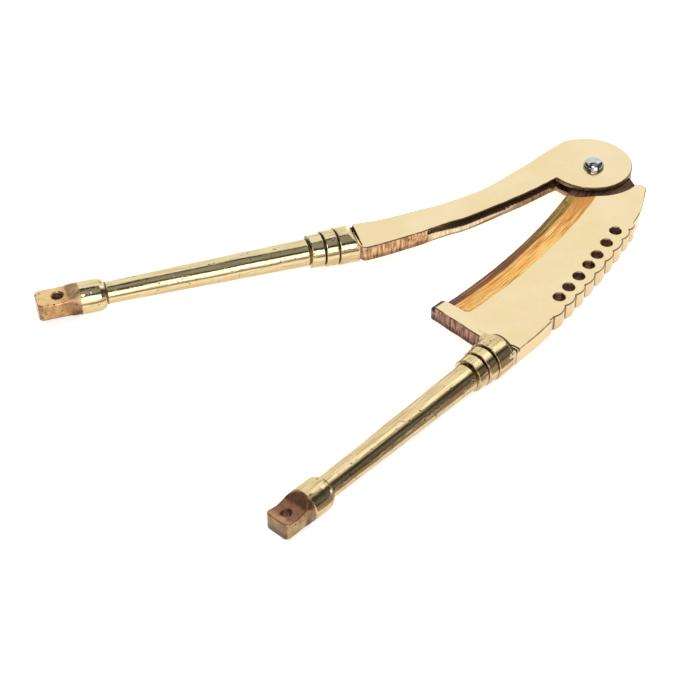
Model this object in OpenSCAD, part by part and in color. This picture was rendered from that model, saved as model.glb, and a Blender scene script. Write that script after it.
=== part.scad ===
// Brass areca nut cutter: a slotted arm, a blade arm and the steel rivet that they turn on.
// Each arm is drawn in its own frame: the pivot at the origin, the grip along +X, mid-plane at Z = 0.

/* [Whole tool] */
// Angle between the two grips as the tool lies
open_angle = 29.6; // [8:0.1:139]
// Direction of the slotted arm's grip, seen from above
slotted_dir = 158.4; // [90:0.1:200]
// Thickness of both flat plates
plate_t = 6; // [4:0.1:8]
// Height of the plates' mid-plane above the table
mid_h = 6.15; // [5:0.05:9]

/* [Slotted arm] */
// Radius of the round head
head_r = 14.1; // [11:0.1:17]
// How far the head's centre lies towards the grip from the rivet
head_x = 0.5; // [-2:0.1:3]
// How far the head's centre lies towards the back from the rivet
head_back = 2.2; // [0:0.1:4]
// Distance from the rivet to the grip's centre line
slotted_offset = 10.4; // [5:0.1:20]
// Radius of the curved anvil edge that the blade closes on
anvil_r = 237; // [150:1:400]
// Distance from the rivet to the rings
slotted_rings_x = 86.6; // [60:0.1:120]
// Distance from the rivet to the end of the saw slot
slot_l = 64.8; // [30:0.1:75]
// Height of the slot
slot_h = 2.2; // [1.5:0.1:3]
// Height of the slot's floor over the mid-plane (minus is below)
slot_floor = -0.7; // [-2:0.05:0]
// Distance from the rivet to the slot's straight inner end
slot_keep = 11.6; // [9:0.1:13]
// How far the lower cheek is filed back behind the upper one
cheek_back = 0.8; // [0:0.1:2]
// Radius worn on the anvil's lower edge
anvil_round = 1.4; // [0.3:0.1:2]

/* [Blade arm] */
// Distance from the rivet to the grip's centre line
blade_offset = 32.3; // [25:0.1:40]
// Distance from the rivet to the rings
blade_rings_x = 89.6; // [70:0.1:120]
// Distance from the rivet to the inner side of the toe
toe_start = 85.8; // [75:0.1:95]
// Distance from the rivet to the toe's outer side
toe_end = 90.4; // [80:0.1:100]
// Radius of the socket that goes round the head
socket_r = 16.2; // [14:0.1:20]
// Width of the lower ground strip that ends in the cutting edge
strip_w = 3.7; // [2:0.1:6]
// Width of the long bevel from the flat face to the strip
bevel_w = 6.5; // [3:0.1:9]
// Fall of the long bevel
bevel_fall = 1.6; // [0.5:0.1:2.5]
// Thickness left on the cutting edge
edge_land = 0.2; // [0.1:0.05:0.5]
// Gap between the closed cutting edge and the anvil
edge_gap = 0.3; // [0.1:0.05:1]
// Thickness of the tongue that turns in the slot
tongue_t = 2; // [1.4:0.1:2.8]
// Radius of the tongue round the rivet
tongue_r = 11; // [8:0.1:12]
// Diameter of the seven drilled holes
hole_d = 3.8; // [2:0.1:5]
// How far the scallops stand out of the back
scallop_h = 1; // [0.3:0.1:2]

/* [Grips] */
// Diameter of the ring beside the plate
ring_d = 12.3; // [10:0.1:15]
// Diameter of the middle ring
ring_mid_d = 11.6; // [9:0.1:14]
// Diameter of the ring beside the grip
ring_low_d = 10.6; // [8:0.1:13]
// Length of the slotted arm's ring beside the plate
slotted_ring_long = 6.3; // [4:0.1:9]
// Length of the slotted arm's other two rings
slotted_ring_l = 4.5; // [3:0.1:7]
// Length of the blade arm's ring beside the plate
blade_ring_long = 7.6; // [4:0.1:9]
// Length of the blade arm's other two rings
blade_ring_l = 4; // [3:0.1:7]
// Diameter of the grip beside the rings
grip_d = 8.8; // [6:0.1:12]
// Diameter of the grip at its neck
neck_d = 7; // [5:0.1:10]
// Distance from the rivet to the neck
neck_x = 166.2; // [120:0.1:200]
// Diameter of the knob
knob_d = 10.4; // [8:0.1:14]
// Length of the knob
knob_l = 8.2; // [5:0.1:12]
// Length of the slotted arm's filed end lug
slotted_lug_l = 13; // [8:0.1:20]
// Length of the blade arm's filed end lug
blade_lug_l = 10.6; // [8:0.1:20]
// Diameter of the bar that the lugs are filed from
lug_d = 10; // [7:0.1:12]
// Width of the lug
lug_w = 8.2; // [5:0.1:10]
// Thickness of the lug
lug_t = 5.8; // [4:0.1:8]
// Length of the ramp from the lug's flats up to the knob
ramp_l = 2.6; // [1:0.1:6]
// Distance from the neck to the hole through the lug
hole_from_neck = 14.6; // [10:0.1:20]
// Depth of the hollow filed across the blade arm's lug
blade_saddle = 0.6; // [0:0.1:1]
// Depth of the hollow filed across the slotted arm's lug
slotted_saddle = 0.1; // [0:0.1:1]
// Diameter of the hole through the lug
lug_hole_d = 3.1; // [2:0.1:5]

/* [Rivet] */
// Diameter of the shank
rivet_d = 4; // [3:0.1:6]
// Radial clearance of the blade arm's tongue on the shank
rivet_play = 0.05; // [0.02:0.01:0.1]
// Diameter of the domed head
dome_d = 6.8; // [5:0.1:10]
// Height of the domed head
dome_h = 3; // [1:0.1:4]
// Diameter of the hammered tail
tail_d = 6.6; // [5:0.1:10]
// Height of the hammered tail
tail_h = 1.5; // [0.5:0.1:3]

/* [Hidden] */
$fn = 96;
eps = 0.01;
big = 400;

// The origin lies under the middle of the whole tool, so the rivet stands off it.
pivot_x = 82.4;
pivot_y = -0.6;
blade_dir = slotted_dir + open_angle;

half_t = plate_t / 2;
slot_roof = slot_floor + slot_h;
slot_mid = slot_floor + slot_h / 2;
tongue_low = slot_mid - tongue_t / 2;

// The anvil edge is one arc; the cutting edge and the toe follow it where the tool is closed.
anvil_x = 99.7;
anvil_y = -218.9;
closed_angle = 7.5;
cut_x = anvil_x * cos(closed_angle) + anvil_y * sin(closed_angle);
cut_y = anvil_y * cos(closed_angle) - anvil_x * sin(closed_angle);
toe_gap = 0.1;
cut_r = anvil_r + edge_gap;
strip_r = cut_r + strip_w;
bevel_r = strip_r + bevel_w;

// Back edge of the slotted arm, from the head to the rings.
back_slope = 26.3;
back_bend = [30, -3.5];
back_pull = [44, 3.4];
back_flat = [62, 4.2];
back_swell = [76, 6];
back_end = slotted_offset - ring_d / 2 + 0.3;

// Back edge of the blade arm: one long arc, scalloped by hand, so its steps are not even.
spine_x = 99.4;
spine_y = -297;
spine_r = 335;
notches = [16.2, 20.2, 25.6, 32.3, 38.2, 45.2, 51.7, 57.4, 63.6, 70];
holes_x = [23.5, 30.4, 37.2, 43, 49.5, 55.8, 61.5];
hole_in = 3.6;

// How far the plates run into the rings.
plate_in = 2;

// A point at distance t along a curve with three control points.
function curve(a, b, c, t) = (1 - t) * (1 - t) * a + 2 * t * (1 - t) * b + t * t * c;
// Height of the blade arm's spine over its pivot line.
function spine(x, r) = spine_y + sqrt(r * r - (x - spine_x) * (x - spine_x));

// ---- shapes shared by both arms ----

// A flat plate, half above and half below the mid-plane.
module plate() {
    translate([0, 0, -half_t])
    linear_extrude(plate_t)
    children();
}

// Rings, grip, knob and lug along +X, from the rings' plate end at x = start.
module handle(start, ring_long, ring_l, lug_l, saddle) {
    r3 = ring_d / 2;
    r2 = ring_mid_d / 2;
    r1 = ring_low_d / 2;
    x2 = start + ring_long;
    x1 = x2 + ring_l;
    x0 = x1 + ring_l;
    groove = 0.45;
    lip = 0.5;
    face_c = 1.1;
    knob_end = neck_x + knob_l;
    rotate([90, 0, 90])
    rotate_extrude()
    polygon([
        [0, start],
        [r3 - face_c, start],
        [r3, start + 1.9],
        [r3, x2 - lip],
        [r2 - groove, x2],
        [r2, x2 + lip],
        [r2, x1 - lip],
        [r1 - groove, x1],
        [r1, x1 + lip],
        [r1, x0 - lip],
        [grip_d / 2 - groove / 2, x0],
        [grip_d / 2, x0 + lip],
        [neck_d / 2, neck_x],
        [knob_d / 2 - 0.5, neck_x + 1.3],
        [knob_d / 2, neck_x + 2.6],
        [knob_d / 2, knob_end - 2],
        [lug_d / 2, knob_end],
        [0, knob_end]
    ]);
    lug(knob_end, lug_l, saddle);
}

// The lug: the knob's bar filed flat on four sides, with a ramp up to the knob and a drilled hole.
module lug(from, long, saddle) {
    tip = from + long;
    corner = 1.4;
    side_from = from + 1.4;
    saddle_r = 12;
    saddle_x = from + 5.4;
    difference() {
        intersection() {
            rotate([90, 0, 90])
            rotate_extrude()
            polygon([
                [0, from - 1],
                [lug_d / 2, from - 1],
                [lug_d / 2, tip - 0.8],
                [lug_d / 2 - 0.8, tip],
                [0, tip]
            ]);
            // Seen from the side.
            translate([0, lug_d, 0])
            rotate([90, 0, 0])
            linear_extrude(2 * lug_d)
            polygon([
                [from - 1, -lug_d],
                [from, -lug_d / 2],
                [from + ramp_l, -lug_t / 2],
                [tip + 1, -lug_t / 2],
                [tip + 1, lug_t / 2],
                [from + ramp_l, lug_t / 2],
                [from, lug_d / 2],
                [from - 1, lug_d]
            ]);
            // Seen from above.
            translate([0, 0, -lug_d])
            linear_extrude(2 * lug_d)
            union() {
                polygon([
                    [from - 2, -lug_d],
                    [from, -lug_d / 2],
                    [side_from, -lug_w / 2],
                    [tip - corner, -lug_w / 2],
                    [tip - corner, lug_w / 2],
                    [side_from, lug_w / 2],
                    [from, lug_d / 2],
                    [from - 2, lug_d]
                ]);
                translate([from, -lug_w / 2 + corner])
                square([long, lug_w - 2 * corner]);
                for (side = [-1, 1])
                    translate([tip - corner, side * (lug_w / 2 - corner)])
                    circle(r = corner);
            }
        }
        translate([saddle_x, -lug_w, lug_t / 2 + saddle_r - saddle])
        rotate([-90, 0, 0])
        cylinder(r = saddle_r, h = 2 * lug_w);
        translate([neck_x + hole_from_neck, 0, -lug_t])
        cylinder(d = lug_hole_d, h = 2 * lug_t);
    }
}

// ---- slotted arm ----

module slotted_outline() {
    tangent = [
        head_x + head_r * sin(back_slope),
        -head_back - head_r * cos(back_slope)
    ];
    translate([head_x, -head_back])
    circle(r = head_r);
    intersection() {
        polygon(concat(
            [[0, -head_back], tangent],
            [for (i = [0:12]) curve(back_bend, back_pull, back_flat, i / 12)],
            [for (i = [1:6]) curve(back_flat, back_swell, [slotted_rings_x, back_end], i / 6)],
            [[slotted_rings_x + plate_in, back_end], [slotted_rings_x + plate_in, 30], [0, 30]]
        ));
        translate([anvil_x, anvil_y])
        circle(r = anvil_r, $fn = 256);
    }
}

// The long saw slot: everything on the blade's side of one straight line.
module slot_outline() {
    reach = norm([slot_l, 15]);
    turn = atan2(15, slot_l) + asin(slot_keep / reach);
    translate([slot_l, 15])
    rotate([0, 0, turn])
    translate([-big / 2, 0])
    square([big / 2, 80]);
}

module slotted_arm() {
    color([0.87, 0.72, 0.42])
    difference() {
        union() {
            plate() slotted_outline();
            translate([0, slotted_offset, 0])
            handle(slotted_rings_x, slotted_ring_long, slotted_ring_l, slotted_lug_l, slotted_saddle);
        }
        translate([0, 0, slot_floor])
        linear_extrude(slot_h)
        slot_outline();
        // The slot's mouth is filed open, and the lower cheek stands back.
        mouth_cut();
        // The anvil's lower edge is worn round.
        anvil_wear();
        translate([0, 0, -plate_t])
        cylinder(d = rivet_d, h = 2 * plate_t);
    }
}

// Ring-shaped cuts that follow the anvil's arc.
module mouth_cut() {
    roof_cut = 0.7;
    roof_in = 1.6;
    intersection() {
        translate([anvil_x, anvil_y, 0])
        rotate_extrude($fn = 256)
        polygon([
            [anvil_r - cheek_back, -half_t - 1],
            [anvil_r + 3, -half_t - 1],
            [anvil_r + 3, slot_roof + roof_cut],
            [anvil_r, slot_roof + roof_cut],
            [anvil_r - roof_in, slot_roof - eps],
            [anvil_r - cheek_back, slot_roof - eps]
        ]);
        translate([16, 0, -half_t - 2])
        cube([slot_l - 22, 30, 20]);
    }
}

module anvil_wear() {
    intersection() {
        translate([anvil_x, anvil_y, 0])
        rotate_extrude($fn = 256)
        polygon([
            [anvil_r - anvil_round, -half_t - 1],
            [anvil_r + 3, -half_t - 1],
            [anvil_r + 3, -half_t + anvil_round],
            [anvil_r, -half_t + anvil_round],
            [anvil_r - 0.4 * anvil_round, -half_t + 0.4 * anvil_round],
            [anvil_r - anvil_round, -half_t]
        ]);
        translate([15, 0, -half_t - 2])
        cube([slotted_rings_x - 15, 40, 20]);
    }
}

// ---- blade arm, with +Y pointing away from the slotted arm ----

module blade_outline() {
    horn_r = 2.4;
    back_start = [notches[0], spine(notches[0], spine_r)];
    difference() {
        union() {
            difference() {
                polygon(concat(
                    [[0, 0], [-1.4, 16], [-1.2, 19.9]],
                    [for (i = [0:10]) curve([-1.2, 19.9], [8, 26], back_start, i / 10)],
                    [for (x = [20:5:70]) [x, spine(x, spine_r)]],
                    [[72, spine(72, spine_r + 0.6)], [80, spine(80, spine_r + 0.6)]],
                    [[blade_rings_x + plate_in, blade_offset + ring_d / 2 - 0.4]],
                    [[toe_end + 1.4, 26], [toe_end, 6], [toe_end, 0]]
                ));
                translate([cut_x, cut_y])
                circle(r = anvil_r + toe_gap, $fn = 256);
            }
            for (i = [0:len(notches) - 2])
                scallop(notches[i], notches[i + 1]);
            translate([0.1, 18.4])
            circle(r = horn_r);
        }
        circle(r = socket_r);
        for (x = holes_x)
            translate([x, spine(x, spine_r) - hole_in])
            circle(d = hole_d);
    }
}

// One convex scallop between two notches on the spine.
module scallop(x1, x2) {
    p = [x1, spine(x1, spine_r)];
    q = [x2, spine(x2, spine_r)];
    half = norm(q - p) / 2;
    r = (half * half + scallop_h * scallop_h) / (2 * scallop_h);
    inward = [-(q[1] - p[1]), q[0] - p[0]] / norm(q - p);
    centre = (p + q) / 2 + inward * (scallop_h - r);
    translate(centre)
    circle(r = r);
}

// Both ground faces as one ring about the cutting edge's own centre.
module bevels() {
    strip_top = -half_t + plate_t - bevel_fall;
    strip_low = -half_t + bevel_fall;
    edge_z = 0;
    intersection() {
        translate([cut_x, cut_y, 0])
        rotate_extrude($fn = 256)
        union() {
            polygon([
                [cut_r - 8, edge_z + edge_land / 2],
                [cut_r, edge_z + edge_land / 2],
                [strip_r, strip_top],
                [bevel_r, half_t],
                [bevel_r, half_t + 1],
                [cut_r - 8, half_t + 1]
            ]);
            polygon([
                [cut_r - 8, edge_z - edge_land / 2],
                [cut_r, edge_z - edge_land / 2],
                [strip_r, strip_low],
                [bevel_r, -half_t],
                [bevel_r, -half_t - 1],
                [cut_r - 8, -half_t - 1]
            ]);
            translate([cut_r - 8, -half_t - 1])
            square([8, plate_t + 2]);
        }
        translate([-20, -30, -half_t - 2])
        linear_extrude(plate_t + 4)
        union() {
            square([20 + toe_start - 2, 80]);
            translate([0, 0])
            square([20 + toe_start, 45]);
            translate([20 + toe_start - 2, 45])
            circle(r = 2);
        }
    }
}

// The tongue in the slot: a disc round the rivet and the web that joins it to the plate.
module tongue() {
    translate([0, 0, tongue_low])
    linear_extrude(tongue_t)
    difference() {
        union() {
            circle(r = tongue_r);
            polygon([[0, 0], [11, 0], [20, 3], [20, 16], [6, 19], [-1, 17.4], [-6, 9.2]]);
        }
        translate([cut_x, cut_y])
        intersection() {
            circle(r = cut_r, $fn = 256);
            translate([11 - cut_x, -20 - cut_y])
            square([40, 60]);
        }
    }
}

module blade_arm() {
    color([0.84, 0.66, 0.36])
    difference() {
        union() {
            difference() {
                plate() blade_outline();
                bevels();
            }
            tongue();
            translate([0, blade_offset, 0])
            handle(blade_rings_x, blade_ring_long, blade_ring_l, blade_lug_l, blade_saddle);
        }
        translate([0, 0, -plate_t])
        cylinder(r = rivet_d / 2 + rivet_play, h = 2 * plate_t);
    }
}

// ---- rivet ----

module pivot_rivet() {
    dome_r = (dome_h * dome_h + dome_d * dome_d / 4) / (2 * dome_h);
    color([0.8, 0.81, 0.83])
    union() {
        translate([0, 0, -half_t - eps])
        cylinder(d = rivet_d, h = plate_t + 2 * eps);
        intersection() {
            translate([0, 0, half_t + dome_h - dome_r])
            sphere(r = dome_r);
            translate([0, 0, half_t])
            cylinder(d = 2 * dome_d, h = dome_h + 1);
        }
        translate([0, 0, -half_t - tail_h])
        cylinder(d1 = tail_d - 1.6, d2 = tail_d, h = tail_h);
    }
}

// ---- the tool as it lies ----

module at_pivot(direction) {
    translate([pivot_x, pivot_y, mid_h])
    rotate([0, 0, direction])
    children();
}

at_pivot(slotted_dir) slotted_arm();
at_pivot(blade_dir) blade_arm();
at_pivot(slotted_dir) pivot_rivet();
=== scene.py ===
"""Looks of a cast brass nut cutter.

Two arms drawn as rounded solids, a steel rivet, their metals, and the studio.
"""

import math

import bmesh
import bpy
import numpy as np
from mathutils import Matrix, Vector


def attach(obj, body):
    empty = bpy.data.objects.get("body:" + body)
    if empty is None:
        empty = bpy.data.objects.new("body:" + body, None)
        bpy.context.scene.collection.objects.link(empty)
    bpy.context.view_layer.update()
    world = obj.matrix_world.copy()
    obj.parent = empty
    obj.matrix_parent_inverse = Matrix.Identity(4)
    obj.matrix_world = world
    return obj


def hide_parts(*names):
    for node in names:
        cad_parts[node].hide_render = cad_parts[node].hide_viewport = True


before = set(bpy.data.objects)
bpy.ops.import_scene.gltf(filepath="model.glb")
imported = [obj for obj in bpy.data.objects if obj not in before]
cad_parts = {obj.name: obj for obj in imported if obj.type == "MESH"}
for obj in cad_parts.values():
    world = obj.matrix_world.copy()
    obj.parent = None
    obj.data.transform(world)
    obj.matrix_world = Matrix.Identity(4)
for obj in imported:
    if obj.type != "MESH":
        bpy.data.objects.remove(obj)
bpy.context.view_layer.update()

# ---- the tool's frame, in millimetres as the CAD gives it ----

PIVOT = np.array([82.4, -0.6, 6.15])  # the hinge axis at the plates' middle height
SLOTTED_DIR = 158.4  # degrees from +X to each arm's own +x, which runs from the pivot to the lug
BLADE_DIR = 188.0
MM_PER_M = 1000
HALF_T = 3.0  # half the plates' thickness
BORE_R_A, BORE_R_B = 2.0, 2.05
GRID = 0.3


def smoothstep(lo, hi, v):
    t = np.clip((v - lo) / (hi - lo), 0.0, 1.0)
    return t * t * (3.0 - 2.0 * t)


def fade(lo, hi, v):
    """1 up to lo, and 0 from hi on."""
    return 1 - smoothstep(lo, hi, v)


def band(a, b, c, d, v):
    """Rises to 1 from a to b, and falls back to 0 from c to d."""
    return smoothstep(a, b, v) * fade(c, d, v)


def meet(a, b, r):
    """Intersection of two distance fields with an edge rounded to radius r."""
    u, v = np.maximum(a + r, 0.0), np.maximum(b + r, 0.0)
    return np.minimum(-r, np.maximum(a, b)) + np.sqrt(u * u + v * v)


def join(a, b, r):
    """Union of two distance fields with a fillet of radius r."""
    u, v = np.maximum(r - a, 0.0), np.maximum(r - b, 0.0)
    return np.maximum(r, np.minimum(a, b)) - np.sqrt(u * u + v * v)


def cut(a, b, r):
    """Field a with field b taken out, its rim rounded to radius r."""
    return meet(a, -b, r)


def bored(d, x, y, z, r):
    """Field d with the rivet's bore taken out."""
    return np.maximum(d, -np.maximum(np.sqrt(x * x + y * y) - r, np.abs(z) - 5))


def wave(x, y, z, scale, seed):
    """Slow unevenness, mostly between -1 and 1, the same on every run."""
    total = 0.0
    for i in range(4):
        k = (1.0 + 0.63 * i) / scale
        p = seed * 1.7 + i * 2.4
        total = total + np.sin(k * (x + 0.37 * y) + p) * np.sin(k * (y * 1.1 - 0.29 * z) + 1.3 * p + 1.0) \
            * np.cos(k * 1.2 * (z + 0.21 * x) + 0.7 * p)
    return total / 2.2


def polygon_field(x, y, points):
    """Signed distance to a closed polygon, negative inside."""
    points = np.asarray(points, float)
    d = np.full(np.broadcast(x, y).shape, 1e9)
    sign = np.ones_like(d)
    for i in range(len(points)):
        a, b = points[i], points[i - 1]
        ex, ey = b[0] - a[0], b[1] - a[1]
        wx, wy = x - a[0], y - a[1]
        t = np.clip((wx * ex + wy * ey) / (ex * ex + ey * ey), 0.0, 1.0)
        d = np.minimum(d, (wx - ex * t) ** 2 + (wy - ey * t) ** 2)
        c1, c2, c3 = y >= a[1], y < b[1], ex * wy > ey * wx
        flip = (c1 & c2 & c3) | (~c1 & ~c2 & ~c3)
        sign = np.where(flip, -sign, sign)
    return sign * np.sqrt(d)


def rounded(points, steps=4):
    """A polyline of (x, y, corner radius) with its corners turned into arcs."""
    out = []
    n = len(points)
    for i, (px, py, r) in enumerate(points):
        p = np.array([px, py])
        if r <= 0 or i in (0, n - 1):
            out.append(p)
            continue
        a = np.array(points[i - 1][:2]) - p
        b = np.array(points[i + 1][:2]) - p
        la, lb = np.linalg.norm(a), np.linalg.norm(b)
        cosine = np.clip(a @ b / (la * lb), -1, 1)
        back = min(r / math.tan(math.acos(cosine) / 2), 0.48 * la, 0.48 * lb)
        s, e = p + a / la * back, p + b / lb * back
        for k in range(steps + 1):
            t = k / steps
            out.append((1 - t) ** 2 * s + 2 * t * (1 - t) * p + t * t * e)
    return np.array(out)


class Table:
    """A distance field in two variables, worked out once on a fine grid and then read by interpolation."""

    def __init__(self, points, lo, hi, step):
        self.lo, self.step = np.array(lo, float), step
        self.n = np.ceil((np.array(hi) - self.lo) / step).astype(int) + 1
        gx = self.lo[0] + step * np.arange(self.n[0])[:, None]
        gy = self.lo[1] + step * np.arange(self.n[1])[None, :]
        self.values = polygon_field(gx, gy, points)

    def __call__(self, x, y):
        u = np.clip((x - self.lo[0]) / self.step, 0, self.n[0] - 1.001)
        v = np.clip((y - self.lo[1]) / self.step, 0, self.n[1] - 1.001)
        i, j = u.astype(int), v.astype(int)
        a, b = u - i, v - j
        t = self.values
        return (t[i, j] * (1 - a) * (1 - b) + t[i + 1, j] * a * (1 - b)
                + t[i, j + 1] * (1 - a) * b + t[i + 1, j + 1] * a * b)


def edge_field(x, y, xs, ys):
    """Distance above the line through (xs, ys), where ys is a height over x."""
    slope = np.gradient(ys, xs)
    return (y - np.interp(x, xs, ys)) / np.sqrt(1.0 + np.interp(x, xs, slope) ** 2)


def curve(a, b, c, n):
    t = np.linspace(0, 1, n)[:, None]
    return (1 - t) ** 2 * np.array(a) + 2 * t * (1 - t) * np.array(b) + t * t * np.array(c)


# ---- grips: rings, taper, knob and filed lug ----

NECK_X = 166.2  # the groove between grip and knob
KNOB_END = 174.4
LUG_R = 5.0  # the lug's round stock, then its width and thickness between filed faces
LUG_W = 8.2
LUG_T = 5.8
HOLE_X = 180.8
HOLE_R_A, HOLE_R_B = 1.58, 1.48
TAPER_R = 4.35  # the grip just past its last ring


def groove(x, before, after):
    """Outline points of the groove at x between two rings of the given radii."""
    low = after - 0.5
    return [(x - 0.32, before, 0.25), (x - 0.08, low, 0.08),
            (x + 0.08, low, 0.08), (x + 0.32, after + 0.02, 0.22)]


def grip_profile(start, rings, radii, foot, rise):
    """Half outline of a grip; the first ring climbs from radius foot over a length of rise."""
    r3, r2, r1 = radii
    x2, x1, x0 = rings
    first = [(start, -6, 0), (start, foot, 0), (start + rise, r3, 0.4)]
    last = [(x0 - 0.32, r1 - 0.04, 0.25), (x0 - 0.06, 4.0, 0.08),
            (x0 + 0.12, 4.0, 0.08), (x0 + 0.6, 4.36, 0.3)]
    taper = [(120, 4.18, 6), (NECK_X - 0.35, 3.5, 0.3), (NECK_X + 0.15, 3.75, 0.1)]
    knob = [(NECK_X + 0.55, 4.55, 0.3), (NECK_X + 1.9, 5.1, 0.6), (NECK_X + 3.4, 5.2, 1.0),
            (KNOB_END - 1.6, 5.17, 1.0), (KNOB_END + 0.1, LUG_R, 0), (KNOB_END + 0.1, -6, 0)]
    return rounded(first + groove(x2, r3, r2) + groove(x1, r2 - 0.02, r1) + last + taper + knob)


def grip_field(x, y, z, table, seed):
    """The turned part of a grip; a little out of true, as filing by hand leaves it."""
    rho = np.sqrt(y * y + z * z)
    turn = np.arctan2(y, z)
    lean = 0.16 * np.sin(turn + seed) + 0.07 * np.sin(2 * turn + 2.1 * seed)
    flat = 0.04 * np.sin(3 * turn + 0.02 * x + seed) + 0.02 * wave(x, turn * 4, 0 * x, 9.0, seed)
    return table(x + lean * np.clip((112.0 - x) / 8.0, 0, 1), rho + flat)


def lug_field(x, y, z, tip, saddle, hole_r, seed, facet=True):
    """The bar past the knob, filed flat on four sides, and its hole.

    saddle holds the heights of its top over x; facet takes off the outer corner at +y.
    """
    bar = meet(np.sqrt(y * y + z * z) - LUG_R, x - tip, 0.5)
    foot = KNOB_END + 3.4
    ramp = (-z - LUG_T / 2 - np.clip(foot - x, 0, 4) * 0.62) * 0.86
    top = (z - np.interp(x, saddle[0], saddle[1])) * 0.86
    low = KNOB_END + 2.6
    side = (np.abs(y) - LUG_W / 2 - np.clip(low - x, 0, 3.4) * 0.38) * 0.93
    corner = (np.abs(y) + (x - tip) - LUG_W / 2 + 0.9) * 0.7071
    near = (y + 0.8 * (x - tip) - LUG_W / 2 + 0.9 + 0.18 * z) * 0.77
    d = meet(meet(meet(bar, ramp, 0.35), top, 0.3), side, 0.35)
    d = meet(meet(d, corner, 0.5), near if facet else near - 0.7, 0.12)
    d = meet(d, KNOB_END - 1.5 - x, 0.1)
    d = d + 0.03 + 0.035 * wave(x, y, z, 2.1, seed + 5)
    hole = np.sqrt((x - HOLE_X) ** 2 + y ** 2) - hole_r
    rim = hole - np.clip(np.abs(z) - LUG_T / 2 + 0.7, 0, 0.35)
    return d, rim


def saddle_line(points):
    line = rounded([(x, z, 2.0) for x, z in points], 8)
    return line[:, 0], line[:, 1]


TOP_A = saddle_line([(172.0, 6.5), (174.4, 5.0), (178.2, 2.95), (181.0, 2.75), (184.0, 2.85), (189.0, 2.8)])
TOP_B = saddle_line([(172.0, 7.2), (174.6, 4.9), (177.4, 2.75), (180.2, 2.15), (182.6, 2.5), (184.1, 3.0),
                     (187.0, 2.7)])


# ---- the slotted arm ----

ANVIL = (99.7, -218.9, 237.0)  # arc: centre x, y and radius
HEAD = (0.5, -2.2, 14.1)
SLOT_LOW, SLOT_TOP = -0.7, 1.5
SLOT_END_X = 63.8
RINGS_A = (86.15, (92.9, 97.3, 101.9), (6.07, 5.8, 5.35), 6.02, 0.5)  # what grip_profile takes
RINGS_B = (89.6, (97.2, 101.2, 105.3), (6.07, 5.62, 5.2), 5.35, 1.7)
OFFSET_A, OFFSET_B = 10.4, 32.3  # how far each grip's axis lies to the side of the pivot

_lean = math.radians(26.3)
_tangent = np.array([HEAD[0] + HEAD[2] * math.sin(_lean), HEAD[1] - HEAD[2] * math.cos(_lean)])
_back = np.concatenate([
    np.array([_tangent - 40 * np.array([math.cos(_lean), math.sin(_lean)]), _tangent]),
    curve((30, -3.5), (44, 3.4), (62, 4.2), 24),
    curve((62, 4.2), (76, 6.0), (86.6, 4.55), 16)[1:],
    np.array([[96, 4.9]]),
])
SLOT_CORNER = (64.8, 15)
_slot_reach = math.hypot(*SLOT_CORNER)
_slot_turn = math.atan2(SLOT_CORNER[1], SLOT_CORNER[0]) + math.asin(11.6 / _slot_reach)


def slot_line(x, y):
    """Distance past the slot's straight back wall, positive inside the slot."""
    return -math.sin(_slot_turn) * (x - SLOT_CORNER[0]) + math.cos(_slot_turn) * (y - SLOT_CORNER[1])


def head_corner(x, y):
    """The blunt corner where the neck's straight back runs on past the round head."""
    first, middle = math.radians(-63.7), math.radians(-79.0)
    u, v = x - HEAD[0], y - HEAD[1]
    faces = [u * math.cos(a) + v * math.sin(a) - HEAD[2] for a in (first, 2 * middle - first)]
    across = np.abs(v * math.cos(middle) - u * math.sin(middle)) - HEAD[2] * math.sin(first - middle)
    outward = -u * math.cos(middle) - v * math.sin(middle)
    return np.maximum(np.maximum(*faces), np.maximum(across, outward))


def plate_nick(x, gy):
    """A saw nick where the slotted arm's first ring rises from the plate; it narrows towards +y."""
    return np.abs(x - 85.8) - 0.46 + 0.34 * smoothstep(-4, 6, gy)


def slotted_plan(x, y):
    head = np.sqrt((x - HEAD[0]) ** 2 + (y - HEAD[1]) ** 2) - HEAD[2]
    anvil = np.sqrt((x - ANVIL[0]) ** 2 + (y - ANVIL[1]) ** 2) - ANVIL[2]
    anvil = anvil + 0.10 * np.sin(x * 0.21) * smoothstep(16, 30, x) + 0.5 * band(50, 56, 60, 66, x)
    back = -edge_field(x, y, _back[:, 0], _back[:, 1])
    back = back + 0.07 * np.sin(x * 0.33 + 1.0)
    neck = -((x - HEAD[0]) * math.cos(_lean) + (y - HEAD[1]) * math.sin(_lean))
    body = np.maximum(meet(anvil, back, 0.3), neck)
    body = meet(body, x - 86.5, 2.2)
    return np.minimum(join(head, body, 0.35), head_corner(x, y)), anvil


TABLE_A = Table(grip_profile(*RINGS_A), (84, 0), (178.5, 8), 0.05)
TABLE_B = Table(grip_profile(*RINGS_B), (86, 0), (178.5, 8), 0.05)


def slot_floor(x):
    """Height of the slot's floor, which comes up towards the slot's end; the saw left it wavy."""
    return SLOT_LOW + 0.7 * smoothstep(22, 46, x) + 0.85 * smoothstep(53, 64, x) + 0.05 * np.sin(x * 4.6)


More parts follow.
